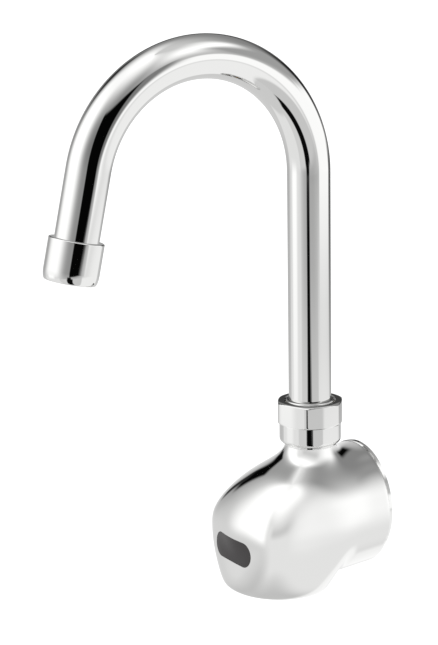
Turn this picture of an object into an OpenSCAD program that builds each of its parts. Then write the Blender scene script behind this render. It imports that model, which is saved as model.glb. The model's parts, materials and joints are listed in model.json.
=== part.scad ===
// Wall-mounted sensor faucet with a swivelling gooseneck spout.
// The origin is the middle of the flange's back face, on the wall. +Y goes
// into the wall, +Z is up, and the spout reaches forward along -Y.

/* [Gooseneck] */
// Outside diameter of the spout tube
tube_d = 19.05; // [16:0.05:22]
// Wall of the spout tube
tube_wall = 1.1; // [0.8:0.1:1.6]
// Straight upright run of the tube, from its seat to the start of the arch
leg_len = 107; // [60:1:160]
// Centreline radius of the arch
arch_r = 54.6; // [40:0.2:70]
// Angle through which the arch turns
arch_sweep = 167.5; // [150:0.5:180]
// Straight run of the tube past the arch
outlet_run = 37.5; // [20:0.5:50]

/* [Outlet] */
// Outside diameter of the outlet sleeve
sleeve_d = 23.7; // [23.3:0.1:27]
// Length of the outlet sleeve
sleeve_len = 18; // [14.5:0.5:20]
// How far the tube reaches into the sleeve
sleeve_lap = 8; // [5:0.5:8]
// Height of the rounding at the sleeve's lower edge
sleeve_round = 4.5; // [1:0.25:5]
// Height of the aerator's housing
aerator_h = 6.2; // [5.6:0.1:6.4]
// Thickness of the aerator's rubber washer
aerator_washer_t = 1; // [0.6:0.1:1.2]
// Holes in one row across the aerator's screen
screen_holes = 9; // [5:2:11]

/* [Coupling nut and collar] */
// Width of the coupling nut across its flats
nut_af = 28.6; // [28.2:0.1:32]
// Height of the coupling nut
nut_h = 9.9; // [9:0.1:12]
// Angle at which the nut came to rest when it was tightened
nut_turn = 21.4; // [0:0.1:60]
// Diameter of the plain collar under the nut
collar_d = 27.6; // [26:0.1:32]
// Height of the plain collar
collar_h = 9.3; // [6:0.1:14]
// Rounding of the collar's lower edge
collar_round = 2.4; // [0.5:0.1:2.6]
// Wall of the nut outside its thread
nut_wall = 2.1; // [1.8:0.1:2.4]
// Height of the collar's threaded nose
nose_h = 4.2; // [3:0.1:4.6]

/* [Swivel joint] */
// Diameter of the spout's tail where it turns in the collar
tail_d = 16; // [15:0.1:16.6]
// Length of the spout's tail below its flange
tail_len = 11.4; // [10:0.1:12]
// Water passage through the spout's tail
tail_bore_d = 10; // [8:0.1:10.4]
// Thickness of that flange
tail_flange_t = 1.4; // [1:0.1:1.6]
// Diameter of the bright ferrule round the foot of the tube
ferrule_d = 21.6; // [21.4:0.1:22]
// Height of the ferrule above the top of the nut
ferrule_up = 0.5; // [0.2:0.1:1.5]
// Thickness of the washer under the flange
low_washer_t = 0.9; // [0.6:0.1:1]
// Thickness of the washer over the flange
top_washer_t = 0.6; // [0.4:0.1:0.8]
// Cord diameter of the O-rings on the tail and on the collar
ring_d = 1.5; // [1.2:0.05:1.7]

/* [Body] */
// Width of the body's head
head_w = 57.9; // [56:0.2:60]
// Depth of the head, front to back
head_deep = 52.7; // [50:0.2:56]
// Distance from the wall to the middle of the head
head_set = 41.3; // [40:0.2:43]
// Drop of the widest level of the head below the supply inlet's centre
head_drop = 6.7; // [5:0.1:8]
// Height of the head's shoulder above its widest level
head_crown = 27.1; // [26:0.2:31]
// Height of the head's foot below the supply inlet's centre
foot_z = 34.6; // [33:0.1:40]
// Upward slope of the foot towards the front
foot_slope = 0.06; // [0:0.002:0.1]
// Blend at the foot's lower edge
foot_blend = 7.4; // [4:0.2:12]
// How much the head's sides draw in towards the foot
side_taper = 0.2; // [0.1:0.01:0.3]
// How far the crown sits behind the middle of the head
crown_back = 4.1; // [0:0.1:6]
// How much the front leans forward towards the foot
front_lean = 5.3; // [2:0.1:6]
// Squareness of the head in plan, at the window
plan_square = 4.5; // [3.5:0.1:5.5]
// Squareness of the head in plan, at the shoulder
shoulder_square = 1.6; // [1.6:0.1:3.5]
// Squareness of the head in plan, at the foot
foot_square = 2.1; // [2:0.1:3]
// Squareness of the shoulder, seen from the side
crown_square = 1.74; // [1.6:0.02:2.2]
// Diameter of the barrel behind the head
barrel_d = 55.4; // [53:0.1:58]
// Drop of the barrel's centre below the inlet's centre, at the wall
barrel_drop = 1.4; // [1:0.1:3]
// Length of the rounded nose with which the barrel runs into the head
barrel_nose = 50; // [34:0.2:60]
// Fall of the barrel's centre towards the front, per millimetre
barrel_fall = 0.1; // [0.03:0.002:0.12]
// Blend from the barrel into the head
barrel_blend = 2; // [1.6:0.1:6]
// Blend from the barrel into the head at the sides
side_blend = 6.3; // [4:0.1:14]
// Blend from the barrel into the head on top, under the neck
top_blend = 10.6; // [6:0.2:13]
// Rounding of the barrel's back edge
back_blend = 1.2; // [0.8:0.1:3]
// Diameter of the neck before its sweep into the shoulder
neck_d = 20.2; // [20:0.1:22]
// Height of the neck's top above the inlet's centre
neck_top = 30.2; // [29:0.1:36]
// Diameter of the thin washer between the neck and the collar
neck_washer_d = 23.6; // [22.8:0.1:26]
// Thickness of that washer
neck_washer_t = 1; // [0.6:0.1:1.5]
// Distance from the wall to the neck's axis
neck_set = 26.5; // [25:0.1:29]
// Sweep of the shoulder into the neck
neck_blend = 10.6; // [9:0.1:18]
// Wall of the cast body
wall = 3; // [2.4:0.1:3.4]

/* [Wall flange] */
// Diameter of the wall flange
flange_d = 53.4; // [53:0.2:60]
// Thickness of the wall flange
flange_t = 2; // [2:0.1:4]
// Outside diameter of the flange's spigot inside the body
spigot_d = 42; // [41.6:0.1:42.4]
// Length of the spigot
spigot_len = 11.6; // [10:0.1:13]
// Wall of the spigot
spigot_wall = 1.6; // [1.2:0.1:1.8]
// Distance between the two wall screws
screw_spacing = 32.8; // [32.4:0.1:33]
// Diameter of the holes for the wall screws
screw_hole_d = 3.8; // [3.2:0.1:4.2]
// Diameter of the set screw that locks the body to the flange
set_screw_d = 4; // [3:0.1:5]
// Length of the set screw
set_screw_len = 6; // [4:0.5:7]
// Thickness of the foam gasket
gasket_t = 1; // [0.6:0.1:1.2]

/* [Waterway] */
// Outside diameter of the inlet behind the wall flange
inlet_d = 26; // [25:0.1:26.2]
// Diameter at the crest of the inlet's internal thread
inlet_bore_d = 18.6; // [18:0.1:19]
// Depth of the inlet's thread
inlet_depth = 13.5; // [12:0.5:15]
// Outside diameter of the waterway's level run
run_d = 21; // [18:0.5:22]
// Water passage through the body
passage_d = 12; // [10:0.1:12.4]
// Outside diameter of the boss under the neck
boss_d = 23.6; // [23.2:0.1:24]
// Diameter of the collar's threaded shank
shank_d = 19.6; // [19.2:0.1:19.8]
// Length of the shank below the collar
shank_len = 18.7; // [17:0.1:20]
// Height of the neck's solid ring, clamped between the boss and the washer
clamp_t = 10.2; // [9.4:0.1:11]

/* [Sensor] */
// Width of the sensor window
window_w = 29.4; // [26:0.2:32]
// Height of the sensor window
window_h = 11.2; // [9:0.1:12]
// Drop of the window's centre below the inlet's centre
window_drop = 12.5; // [11:0.1:14]
// Depth of the sensor's housing
housing_deep = 13.8; // [12:0.1:15]
// Diameter of the infrared lamp and of the receiver
eye_d = 5; // [3:0.1:5]
// Thickness of the sensor's bracket
bracket_t = 1.5; // [1:0.1:2]

/* [Hidden] */
$fn = 96;

// Clearances
turn_gap = 0.06;   // all round the tail where it turns in the collar
slide_gap = 0.05;  // along the axis between turning faces
seat_gap = 0.03;   // round a part that is brazed or screwed in
fit_gap = 0.1;     // round a spigot that drops into its bore
loose_gap = 0.3;   // round a part that must never bind
eps = 0.01;

tube_r = tube_d / 2;
// The collar's threaded nose, and the flange that the nut holds down
nose_d = nut_af - 2 * nut_wall;
tail_flange_d = nose_d - 2 * loose_gap;
// Heights of the stack on the neck's axis
neck_y = -neck_set;
collar_z = neck_top + neck_washer_t;
shoulder_z = collar_z + collar_h;
land_z = shoulder_z + nose_h;
flange_z = land_z + low_washer_t + slide_gap;
flange_top_z = flange_z + tail_flange_t;
top_washer_z = flange_top_z + slide_gap;
lip_z = top_washer_z + top_washer_t;
nut_z = shoulder_z + slide_gap;
nut_top_z = nut_z + nut_h;
ferrule_top_z = nut_top_z + ferrule_up;
tube_seat_z = flange_z + 1.15;
arch_z = tube_seat_z + leg_len;
clamp_z = neck_top - clamp_t;
shank_z = collar_z - shank_len;
shank_washer_t = 1.5;
socket_z = shank_z - shank_washer_t;
tail_z = flange_z - tail_len;
tail_floor_z = tail_z - 0.5;
shank_r = shank_d / 2;
neck_hole_r = shank_r + fit_gap;

// The outlet's own frame: its origin is the end of the arch, +Z the flow
sleeve_at = outlet_run - sleeve_lap;
sleeve_end = sleeve_at + sleeve_len;
sleeve_r = sleeve_d / 2;
stop_t = 1.4;
washer_at = outlet_run + stop_t;
housing_at = washer_at + aerator_washer_t;
housing_end = housing_at + aerator_h;
thread_r = sleeve_r - 1.65;
aerator_r = thread_r - seat_gap;
cell_r = aerator_r - 1.75;
lip_t = 1;
screen_t = 0.6;
regulator_t = 1.4;
insert_t = 1.2;
screen_at = housing_end - lip_t - screen_t;
regulator_at = housing_at + 0.2;
insert_at = regulator_at + regulator_t;

// Body
head_y = -head_set;
head_z = -head_drop;
half_w = head_w / 2;
half_d = head_deep / 2;
barrel_r = barrel_d / 2;
neck_r = neck_d / 2;
// The height over which the head's taper and squareness change, above and below
lean_ref = 25;
lean_start = 0.3;     // softens the taper's start
front_taper = 0.06;   // how much the depth draws in towards the foot
rise_ref = 34.6;      // the height over which the crown grows rounder
crown_soft = 4.6;     // softens the crown's start
top_soft = 0.15;      // rounds the very top of the crown
edge_soft = 3;        // rounds the middle lines of the head's four sides
top_start = 24;       // the height over which the top blend grows
// The barrel's round back edge, and where its nose begins
back_y = -1.2;
nose_y = -(neck_set - 10);
// The level and half height over which the sides blend wide
side_z = 2;
side_span = 22;
core = [0, -(neck_set + 3.5), -head_drop - 0.4];
rear_bore_r = spigot_d / 2 + fit_gap;
spigot_end = -(flange_t + spigot_len);
set_screw_y = -(flange_t + spigot_len / 2);
cavity_back = spigot_end - 0.4;

// Sensor, from the body's front face backwards
window_z = -window_drop;
front_y = front_at(window_z);
face_y = front_y + 0.6;
seat_y = front_y + 2.7;
pad = 1.8;
gasket_in_t = wall * 0.2;
lens_back_y = seat_y + gasket_in_t + wall * 0.4;
housing_y = lens_back_y;
housing_w = window_w + 4;
housing_h = window_h + 4.8;
housing_back_y = housing_y + housing_deep;
cover_t = bracket_t;
front_wall = wall * 0.4;
board_t = 1.6;
ledge = 1;
board_w = housing_w - 9.4;
board_h = housing_h - 3.4;
board_y = housing_y + front_wall + 4.1;
side_x = housing_w / 2 - 2.6;
housing_top_z = window_z + housing_h / 2;
elbow_front_y = neck_y - passage_d / 2 - 8.5;
shelf_front_y = housing_y + 0.8;
shelf_screw_y = housing_y + 3.6;
shelf_screw_len = 2.4;   // in the housing

// Smooth meeting and smooth overlap of two distances
function smin(a, b, k) = let (h = min(1, max(0, 0.5 + 0.5 * (b - a) / k)))
    b + (a - b) * h - k * h * (1 - h);
function smax(a, b, k) = -smin(-a, -b, k);
// How far the lower half has drawn in at height z
function lean(z) = let (w = max(0, (head_z - z) / lean_ref))
    sqrt(w * w + lean_start * lean_start) - lean_start;
// A share from 0 to 1 that starts and ends gently
function gentle(t) = let (w = min(1, max(0, t))) w * w * (3 - 2 * w);
// How far the upper half has turned into the shoulder at height z
function rise(z) = gentle((z - head_z) / rise_ref);
// Squareness of the head in plan at height z
function square_at(z) = let (t = min(1, lean(z) * 4 / 3))
    plan_square + (foot_square - plan_square) * t * (1 + t * (1 - t))
        + (shoulder_square - plan_square) * rise(z);
function side_at(z) = half_w * (1 - side_taper * lean(z));
function depth_at(z) = half_d * (1 - front_taper * lean(z));
function middle_at(z) = head_y - front_lean * lean(z) + crown_back * rise(z);
// One share of the plan's rounded outline
function across(d, size, n) = pow((d * d + edge_soft * edge_soft) / (size * size), n / 2);
// The head's front face at height z
function front_at(z) = let (n = square_at(z), hy = depth_at(z))
    middle_at(z) - sqrt(pow(hy * pow(1 - across(0, side_at(z), n), 1 / n), 2)
        - edge_soft * edge_soft);
// Head: a rounded box whose sides draw in towards a flat, rounded foot
function head(p) = let (z = p[2], n = square_at(z),
    plan = pow(across(p[0], side_at(z), n)
        + across(p[1] - middle_at(z), depth_at(z), n), 1 / n),
    rho = norm([plan, top_soft * (1 - plan)]),
    up = max(0, z - head_z),
    w = (sqrt(up * up + crown_soft * crown_soft) - crown_soft) / head_crown,
    side = (pow(pow(rho, crown_square) + pow(w, crown_square), 1 / crown_square) - 1)
        * (half_w + half_d) / 2)
    smax(side, -(z + foot_z) - foot_slope * (p[1] - head_y), foot_blend);
// Barrel: a round bar that falls a little to the front, where it ends in a long
// round nose inside the head. Its back edge is soft
function barrel(p) = let (dz = p[2] + barrel_drop - barrel_fall * (p[1] + flange_t),
    dy = min(0, p[1] - nose_y) * barrel_r / barrel_nose)
    smax(norm([p[0], dy, dz]) - barrel_r, p[1] - back_y, back_blend);
function neck(p) = max(norm([p[0], p[1] - neck_y]) - neck_r, -p[2]);
function blend_at(z) = barrel_blend + (side_blend - barrel_blend)
    * pow(max(0, 1 - pow((z - side_z) / side_span, 2)), 2) + top_blend * gentle(z / top_start);
function skin(p) = smin(smin(head(p), barrel(p), blend_at(p[2])), neck(p), neck_blend);
// Distance from the core to the skin along d, by halving
function reach(d, off, lo, hi, n) = n == 0 ? (lo + hi) / 2 :
    let (m = (lo + hi) / 2) skin(core + d * m) + off < 0
        ? reach(d, off, m, hi, n - 1) : reach(d, off, lo, m, n - 1);
function capped(d, off, top, back) = min(reach(d, off, 0, 80, 17),
    d[2] > 0.001 ? (top - core[2]) / d[2] : 999,
    d[1] > 0.001 ? (back - core[1]) / d[1] : 999);

// A closed skin of rings round the core, offset inwards by off
module blob(off, top, back, rings, around) {
    dirs = [for (i = [1:rings - 1]) let (f = -90 + 180 * i / rings)
        for (j = [0:around - 1]) let (t = 360 * j / around)
            [cos(f) * cos(t), cos(f) * sin(t), sin(f)]];
    pts = concat([for (d = dirs) core + d * capped(d, off, top, back)],
        [core + [0, 0, -capped([0, 0, -1], off, top, back)],
         core + [0, 0, capped([0, 0, 1], off, top, back)]]);
    low = len(dirs);
    faces = concat(
        [for (j = [0:around - 1]) [low, j, (j + 1) % around]],
        [for (i = [0:rings - 3]) for (j = [0:around - 1]) for (h = [0, 1])
            let (a = i * around + j, b = i * around + (j + 1) % around)
            h == 0 ? [a, a + around, b] : [b, a + around, b + around]],
        [for (j = [0:around - 1]) let (a = (rings - 2) * around)
            [low + 1, a + (j + 1) % around, a + j]]);
    polyhedron(pts, faces);
}
module stadium(w, h) {
    square([w - h, h], center = true);
    for (s = [-1, 1]) translate([s * (w - h) / 2, 0]) circle(h / 2);
}
// A stadium-shaped bar from y0 back to y1 on the window's axis
module pill(w, h, y0, y1) translate([0, y1, window_z]) rotate([90, 0, 0])
    linear_extrude(y1 - y0) stadium(w, h);
// A round bar along Y from y0 to y1
module rod_y(r, y0, y1, x = 0, z = 0) translate([x, y1, z]) rotate([90, 0, 0])
    cylinder(r = r, h = y1 - y0);
module on_neck(z) translate([0, neck_y, z]) children();
module ring(r_out, r_in, h) difference() {
    cylinder(r = r_out, h = h);
    translate([0, 0, -1]) cylinder(r = r_in, h = h + 2);
}
module o_ring(r_mid, d) rotate_extrude() translate([r_mid, 0]) circle(d / 2, $fn = 24);
// The frame of the outlet, at the end of the arch
module at_outlet() translate([0, neck_y - arch_r, arch_z]) rotate([arch_sweep, 0, 0])
    translate([0, arch_r, 0]) children();
// A small round-headed screw that points down its own -Z, its head above 0
module screw(shank_r, len, head_r, head_h) difference() {
    union() {
        translate([0, 0, -len]) cylinder(r = shank_r, h = len + eps);
        cylinder(r = head_r, h = head_h);
    }
    for (a = [0, 90]) rotate([0, 0, a]) translate([-head_r * 0.55, -0.25, head_h * 0.45])
        cube([head_r * 1.1, 0.5, head_h]);
}

module body_shell() color("silver") difference() {
    intersection() {
        blob(0, neck_top + 24, 2, 46, 56);
        translate([-60, -120, -60]) cube([120, 120 - flange_t, 60 + neck_top]);
    }
    // Hollow of the casting
    blob(wall, clamp_z, cavity_back, 20, 32);
    // Round seat over the waterway's boss, then the hole through the neck
    on_neck(0) cylinder(r = boss_d / 2 + loose_gap, h = clamp_z);
    on_neck(clamp_z - 1) cylinder(r = neck_hole_r, h = clamp_t + 2);
    // Bore for the flange's spigot
    rod_y(rear_bore_r, cavity_back - 3, 1);
    // Window, and the flat seat behind it
    pill(window_w, window_h, front_y - 8, seat_y + 4);
    pill(housing_w + 0.6, housing_h + 0.6, seat_y, seat_y + 8);
    // Thread for the set screw
    translate([0, set_screw_y, -foot_z - 4])
        cylinder(r = set_screw_d / 2 + seat_gap, h = foot_z - spigot_d / 4);
}

module wall_flange() color("gainsboro") difference() {
    union() {
        rod_y(flange_d / 2, -flange_t + 0.5, 0);
        translate([0, -flange_t + 0.5, 0]) rotate([90, 0, 0])
            cylinder(r1 = flange_d / 2, r2 = flange_d / 2 - 0.5, h = 0.5);
        rod_y(spigot_d / 2, spigot_end, -flange_t + 0.5);
    }
    rod_y(spigot_d / 2 - spigot_wall, spigot_end - 1, -flange_t);
    rod_y(inlet_d / 2 + fit_gap, -flange_t - 1, 1);
    for (s = [-1, 1]) rod_y(screw_hole_d / 2, -flange_t - 1, 1, x = s * screw_spacing / 2);
    rod_y(grommet_r + eps, -flange_t - 1, 1, z = -grommet_drop);
    translate([0, 1, 0]) rotate([90, 0, 0]) ring(gasket_r, gasket_r - gasket_w, gasket_t + 1);
}
gasket_r = flange_d / 2 - 1.6;
gasket_w = 3;
module wall_gasket() color("dimgray") rotate([90, 0, 0])
    ring(gasket_r - seat_gap, gasket_r - gasket_w + seat_gap, gasket_t);

module body_set_screw() color("gray") translate([0, set_screw_y, -spigot_d / 2 - set_screw_len])
    difference() {
        cylinder(r = set_screw_d / 2, h = set_screw_len);
        translate([0, 0, -1]) cylinder(r = set_screw_d * 0.27, h = 1 + set_screw_len * 0.4, $fn = 6);
    }

grommet_r = 2.3;
grommet_lip = 0.6;
grommet_drop = inlet_d / 2 + grommet_r + grommet_lip + loose_gap;
module lead_grommet() color("black") difference() {
    union() {
        rod_y(grommet_r, -flange_t - 0.5, -0.2, z = -grommet_drop);
        rod_y(grommet_r + grommet_lip, -flange_t - 1.2, -flange_t, z = -grommet_drop);
    }
    rod_y(1.5, -flange_t - 3, 1, z = -grommet_drop);
}

module waterway_elbow() color("goldenrod") difference() {
    union() {
        rod_y(inlet_d / 2, -inlet_depth - 4, 0);
        rod_y(run_d / 2, elbow_front_y, -inlet_depth);
        on_neck(0) cylinder(r = boss_d / 2, h = clamp_z);
        on_neck(0) sphere(boss_d / 2);
    }
    rod_y(inlet_bore_d / 2, -inlet_depth, 1);
    rod_y(passage_d / 2, neck_y, -inlet_depth + 1);
    on_neck(0) sphere(passage_d / 2);
    on_neck(0) cylinder(r = passage_d / 2, h = clamp_z + 1);
    on_neck(socket_z) cylinder(r = shank_r + seat_gap, h = clamp_z);
    // Blind hole for the bracket's screw
    rod_y(1.98, elbow_front_y - 1, elbow_front_y + 6, z = bracket_screw_z);
}
bracket_screw_z = 3;
plate_w = run_d * 0.76;

module shank_washer() color("firebrick") on_neck(socket_z)
    ring(shank_r - 0.1, passage_d / 2 + 0.5, shank_washer_t);

module neck_washer() color("silver") on_neck(neck_top)
    ring(neck_washer_d / 2, neck_hole_r, neck_washer_t);

module neck_collar() color("silver") on_neck(0) rotate_extrude() difference() {
    union() {
        translate([0, shank_z]) square([shank_r, land_z - shank_z]);
        // Plain collar with a rounded lower edge
        polygon(concat([[0, collar_z]],
            [for (a = [-90:10:0]) [collar_d / 2 - collar_round + collar_round * cos(a),
                collar_z + collar_round + collar_round * sin(a)]],
            [[collar_d / 2, shoulder_z - 0.4], [collar_d / 2 - 0.4, shoulder_z], [0, shoulder_z]]));
        polygon([[0, shoulder_z - 1], [nose_d / 2, shoulder_z - 1], [nose_d / 2, land_z - 0.5],
            [nose_d / 2 - 0.5, land_z], [0, land_z]]);
    }
    translate([-1, shank_z - 1]) square([passage_d / 2 + 1, land_z]);
    translate([-1, tail_floor_z]) square([tail_d / 2 + turn_gap + 1, land_z]);
    // Groove for the O-ring that seals the neck
    translate([shank_r - ring_d, neck_ring_z - ring_d * 0.65]) square([4, ring_d * 1.3]);
}
neck_ring_z = neck_top - clamp_t / 2;
module neck_o_ring() color("black") on_neck(neck_ring_z)
    o_ring(shank_r - ring_d / 2 + 0.02, ring_d);

module coupling_nut() color("silver") on_neck(nut_z) difference() {
    intersection() {
        rotate([0, 0, nut_turn]) cylinder(r = nut_af / 2 / cos(30), h = nut_h, $fn = 6);
        // Turned chamfers, a flat one above and a steeper one below
        rotate_extrude() polygon([[0, 0], [nut_af / 2 + 0.5, 0], [nut_af / 2 + 2.4, 1.9],
            [nut_af / 2 + 2.4, nut_h - 1], [nut_af / 2 - 0.15, nut_h], [0, nut_h]]);
    }
    translate([0, 0, -1]) cylinder(r = nose_d / 2 + turn_gap, h = lip_z - nut_z + 1);
    translate([0, 0, -1]) cylinder(r = ferrule_d / 2 + 0.4, h = nut_h + 2);
}

module lower_swivel_washer() color("ivory") on_neck(land_z)
    ring(tail_flange_d / 2 - 0.3, tail_d / 2 + 0.2, low_washer_t);
module upper_swivel_washer() color("ivory") on_neck(top_washer_z)
    ring(nose_d / 2, ferrule_d / 2 + 0.3, top_washer_t);

module sensor_window() color("#2c2a2b") {
    pill(window_w - loose_gap, window_h - loose_gap, face_y, lens_back_y);
    pill(housing_w - 0.4, housing_h - 0.4, seat_y + gasket_in_t, lens_back_y);
}
module window_gasket() color("dimgray") difference() {
    pill(housing_w - 0.4, housing_h - 0.4, seat_y, seat_y + gasket_in_t);
    pill(window_w - 0.1, window_h - 0.1, seat_y - 1, seat_y + 2);
}

module block(w, h, y0, y1) translate([-w / 2, y0, window_z - h / 2]) cube([w, y1 - y0, h]);
module sensor_housing() color("#333333") difference() {
    pill(housing_w, housing_h, housing_y, housing_back_y);
    // Front chamber, then the wider chamber whose step carries the board
    block(board_w - 2 * ledge, board_h - 3 * ledge, housing_y + front_wall, housing_back_y);
    block(board_w + 0.4, board_h + 0.4, board_y, housing_back_y + 1);
    for (s = [-1, 1]) {
        rod_y(eye_d / 2 + 0.1, housing_y - 1, housing_y + 3, x = s * eye_spacing / 2, z = window_z);
        rod_y(1.12, housing_back_y + cover_t - cover_screw_len - 1, housing_back_y + 1,
            x = s * side_x, z = window_z);
        translate([s * shelf_screw_x, shelf_screw_y, housing_top_z - shelf_screw_len - loose_gap])
            cylinder(r = 1.12, h = shelf_screw_len * 3);
    }
}
shelf_screw_x = window_w * 0.365;
// The two eyes look out through the window, left and right of its middle
eye_spacing = window_w * 8 / 15;
cover_screw_len = 7;
module sensor_back_cover() color("#3a3a3a") difference() {
    union() {
        pill(housing_w, housing_h, housing_back_y, housing_back_y + cover_t);
        // Pegs that hold the board on its step
        for (s = [-1, 1]) rod_y(1.5, board_y + board_t, housing_back_y + 0.5,
            x = s * (board_w / 2 - 2.5), z = window_z);
    }
    for (s = [-1, 1]) rod_y(1.3, housing_back_y - 1, housing_back_y + 3, x = s * side_x, z = window_z);
    // Way out for the lead
    rod_y(1.6, housing_back_y - 1, housing_back_y + 3, z = window_z);
}
module sensor_circuit_board() color("green") block(board_w, board_h, board_y, board_y + board_t);
module eye(s) {
    // A round-nosed lamp case with its rim, flat on the board
    rod_y(eye_d / 2, housing_y + eye_d / 2 + 0.2, board_y, x = s * eye_spacing / 2, z = window_z);
    translate([s * eye_spacing / 2, housing_y + eye_d / 2 + 0.2, window_z]) sphere(eye_d / 2);
    rod_y(eye_d / 2 + 0.4, board_y - 1, board_y, x = s * eye_spacing / 2, z = window_z);
}
module infrared_emitter() color("#6a5acd") eye(-1);
module infrared_receiver() color("#222222") eye(1);
module cover_screw(s) translate([s * side_x, housing_back_y + cover_t, window_z])
    rotate([-90, 0, 0]) screw(1.1, cover_screw_len, 2.1, 1.5);
module cover_screw_left() color("gray") cover_screw(-1);
module cover_screw_right() color("gray") cover_screw(1);

module sensor_bracket() color("lightgray") difference() {
    union() {
        // Shelf over the housing, and the plate against the waterway
        translate([-window_w / 2 + 0.5, shelf_front_y, housing_top_z])
            cube([window_w - 1, elbow_front_y - shelf_front_y, bracket_t]);
        translate([-plate_w / 2, elbow_front_y - bracket_t, housing_top_z])
            cube([plate_w, bracket_t, bracket_screw_z + plate_w * 0.31 - housing_top_z]);
    }
    for (s = [-1, 1]) translate([s * shelf_screw_x, shelf_screw_y, housing_top_z - 1])
        cylinder(r = 1.3, h = 5);
    rod_y(2.2, elbow_front_y - 5, elbow_front_y + 1, z = bracket_screw_z);
}
module housing_screw(s) translate([s * shelf_screw_x, shelf_screw_y, housing_top_z + bracket_t])
    screw(1.1, shelf_screw_len + bracket_t, 2.1, 1.4);
module housing_screw_left() color("gray") housing_screw(-1);
module housing_screw_right() color("gray") housing_screw(1);
module bracket_screw() color("gray") translate([0, elbow_front_y - bracket_t, bracket_screw_z])
    rotate([90, 0, 0]) screw(1.95, 7, 3.4, 2.2);

// The tube's run as a solid bar of radius r, past both ends by over. The outlet
// leg starts inside the arch and is a hundredth larger, so that it closes round it
module tube_bar(r, over = 0) {
    on_neck(tube_seat_z - over) cylinder(r = r, h = leg_len + over);
    translate([0, neck_y - arch_r, arch_z]) rotate([90, 0, 90])
        rotate_extrude(angle = arch_sweep) translate([arch_r, 0]) circle(r, $fn = 48);
    at_outlet() translate([0, 0, -0.3]) cylinder(r = r + 0.01, h = outlet_run + 0.3 + over);
}
module gooseneck_tube() color("silver") difference() {
    tube_bar(tube_r);
    tube_bar(tube_r - tube_wall, 1);
}

module spout_tail() color("gainsboro") on_neck(0) rotate_extrude() difference() {
    polygon([[0, tail_z], [tail_d / 2 - 0.5, tail_z], [tail_d / 2, tail_z + 0.5],
        [tail_d / 2, flange_z], [tail_flange_d / 2, flange_z], [tail_flange_d / 2, flange_top_z],
        [ferrule_d / 2, flange_top_z], [ferrule_d / 2, ferrule_top_z - 0.4],
        [ferrule_d / 2 - 0.4, ferrule_top_z], [0, ferrule_top_z]]);
    translate([-1, tail_z - 1]) square([tail_bore_d / 2 + 1, 40]);
    translate([-1, tube_seat_z]) square([tube_r + seat_gap + 1, 40]);
    for (z = tail_ring_z) translate([tail_d / 2 - ring_d, z - ring_d * 0.65])
        square([4, ring_d * 1.3]);
}
tail_ring_z = [flange_z - 3.2, tail_z + 2.6];
module tail_o_ring(z) on_neck(z) o_ring(tail_d / 2 - ring_d / 2 + 0.03, ring_d);
module tail_o_ring_upper() color("black") tail_o_ring(tail_ring_z[0]);
module tail_o_ring_lower() color("black") tail_o_ring(tail_ring_z[1]);

module outlet_sleeve() color("silver") at_outlet() rotate_extrude() difference() {
    polygon(concat([[0, sleeve_at], [sleeve_r - 0.5, sleeve_at], [sleeve_r, sleeve_at + 0.5]],
        [for (a = [0:10:90]) [sleeve_r - 1.1 * (1 - cos(a)),
            sleeve_end - sleeve_round + sleeve_round * sin(a)]],
        [[0, sleeve_end]]));
    translate([-1, sleeve_at - 1]) square([tube_r + seat_gap + 1, sleeve_lap + 1]);
    translate([-1, outlet_run - 1]) square([tube_r - tube_wall + 1, 20]);
    translate([-1, washer_at]) square([thread_r + 1, 40]);
}

module aerator_housing() color("silver") at_outlet() rotate_extrude() difference() {
    polygon([[0, housing_at], [aerator_r, housing_at], [aerator_r, housing_end - 0.4],
        [aerator_r - 0.4, housing_end], [0, housing_end]]);
    translate([-1, housing_at - 1]) square([cell_r + 1, aerator_h - lip_t + 1]);
    translate([-1, housing_at - 1]) square([cell_r, 40]);
}
module aerator_washer() color("black") at_outlet() translate([0, 0, washer_at])
    ring(aerator_r - 0.05, cell_r - 0.6, aerator_washer_t);
module flow_regulator() color("royalblue") at_outlet() translate([0, 0, regulator_at])
    difference() {
        cylinder(r = cell_r - 0.05, h = regulator_t);
        for (i = [0:7]) rotate([0, 0, i * 45]) translate([cell_r * 0.6, 0, -1])
            cylinder(r = 0.9, h = regulator_t + 2);
    }
module aerator_insert() color("white") at_outlet() translate([0, 0, insert_at]) difference() {
    cylinder(r = cell_r - 0.05, h = screen_at - insert_at);
    translate([0, 0, insert_t]) cylinder(r = cell_r - 1, h = 20);
    for (i = [0:11]) rotate([0, 0, i * 30]) translate([cell_r * 0.7, 0, -1])
        cylinder(r = 0.7, h = insert_t + 2);
}
module aerator_screen() color("lightgray") at_outlet() translate([0, 0, screen_at])
    difference() {
        cylinder(r = cell_r - 0.05, h = screen_t);
        pitch = 2 * (cell_r - 1) / screen_holes;
        for (i = [0:screen_holes - 1]) for (j = [0:screen_holes - 1])
            let (x = (i - (screen_holes - 1) / 2) * pitch, y = (j - (screen_holes - 1) / 2) * pitch)
            if (norm([x, y]) < cell_r - 1 - pitch * 0.4)
                translate([x, y, -1]) cylinder(r = pitch * 0.34, h = 3, $fn = 24);
    }

body_shell();
wall_flange();
wall_gasket();
body_set_screw();
lead_grommet();
waterway_elbow();
shank_washer();
neck_washer();
neck_collar();
neck_o_ring();
coupling_nut();
lower_swivel_washer();
upper_swivel_washer();
sensor_window();
window_gasket();
sensor_housing();
sensor_back_cover();
sensor_circuit_board();
infrared_emitter();
infrared_receiver();
cover_screw_left();
cover_screw_right();
sensor_bracket();
housing_screw_left();
housing_screw_right();
bracket_screw();
gooseneck_tube();
spout_tail();
tail_o_ring_upper();
tail_o_ring_lower();
outlet_sleeve();
aerator_housing();
aerator_washer();
flow_regulator();
aerator_insert();
aerator_screen();
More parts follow.
